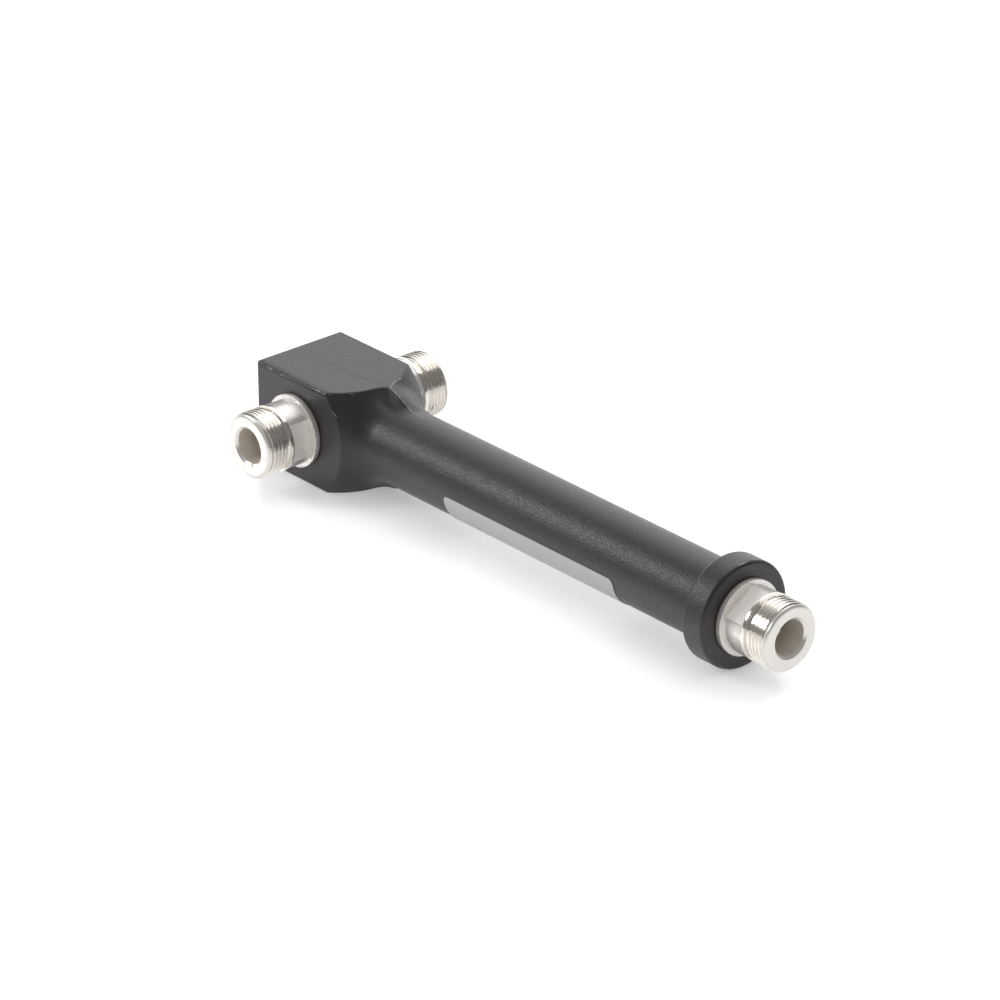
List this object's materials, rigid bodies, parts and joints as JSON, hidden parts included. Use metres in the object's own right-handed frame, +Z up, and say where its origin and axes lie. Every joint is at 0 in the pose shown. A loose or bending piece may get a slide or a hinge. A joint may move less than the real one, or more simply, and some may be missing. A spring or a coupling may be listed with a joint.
{
  "type": "rf power splitter",
  "caption": "Two-way coaxial power splitter: round barrel with a square head, two opposite output jacks and an input jack on the barrel's end.",
  "frame": {"origin": "middle of the whole part's outline in X and Y, on the surface it rests on", "axes": "+X along the barrel towards the input jack, +Y towards the far output jack, +Z up"},
  "size_m": [0.1662, 0.0542, 0.0254],
  "materials": {
    "body_coat": "satin black powder coat",
    "label_stock": "silver grey film, bare",
    "conductor_brass": "turned",
    "insulator_white": "white fluoropolymer",
    "jack_nickel": "bright nickel plate on brass",
    "washer_rubber": "dark rubber",
    "ring_brass": "turned",
    "contact_plate": "silver plate"
  },
  "bodies": {
    "root": {"body": "body_coat", "label": "label_stock", "centre_conductor": "conductor_brass", "junction_bead": "insulator_white", "middle_bead": "insulator_white", "input_bead": "insulator_white", "near_output_shell": "jack_nickel", "near_output_washer": "washer_rubber", "near_output_insulator": "insulator_white", "near_output_retaining_ring": "ring_brass", "near_output_contact": "contact_plate", "far_output_shell": "jack_nickel", "far_output_washer": "washer_rubber", "far_output_insulator": "insulator_white", "far_output_retaining_ring": "ring_brass", "far_output_contact": "contact_plate", "input_shell": "jack_nickel", "input_washer": "washer_rubber", "input_insulator": "insulator_white", "input_retaining_ring": "ring_brass", "input_contact": "contact_plate"}
  },
  "joints": []
}
